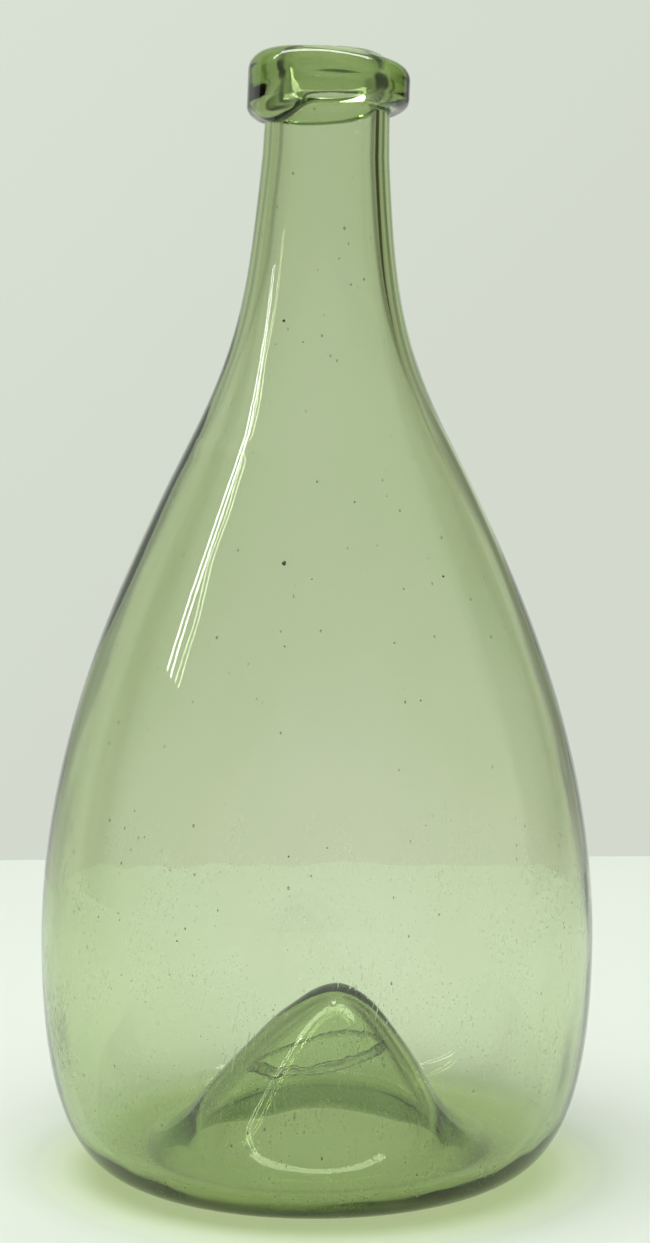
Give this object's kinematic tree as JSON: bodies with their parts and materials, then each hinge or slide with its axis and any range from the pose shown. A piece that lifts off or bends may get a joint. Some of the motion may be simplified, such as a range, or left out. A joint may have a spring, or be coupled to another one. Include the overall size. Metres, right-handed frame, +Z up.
{
  "type": "glass bottle",
  "caption": "Free-blown, pear-shaped pale green glass bottle with a laid-on collar, a deep kick-up and a pontil scar.",
  "frame": {"origin": "on the surface it stands on, under the middle of its widest ring", "axes": "+Z up through the mouth; +X towards the side that the neck drifts to; -Y is the pictured front"},
  "size_m": [0.1146, 0.1146, 0.23],
  "materials": {
    "body_glass": "clear pale green bottle glass, fire polished",
    "collar_glass": "clear pale green bottle glass, fire polished, deeper where it is thick",
    "scar_glass": "broken pale green glass, rough"
  },
  "bodies": {
    "root": {"bottle_body": "body_glass", "lip_collar": "collar_glass", "pontil_scar": "scar_glass"}
  },
  "joints": []
}
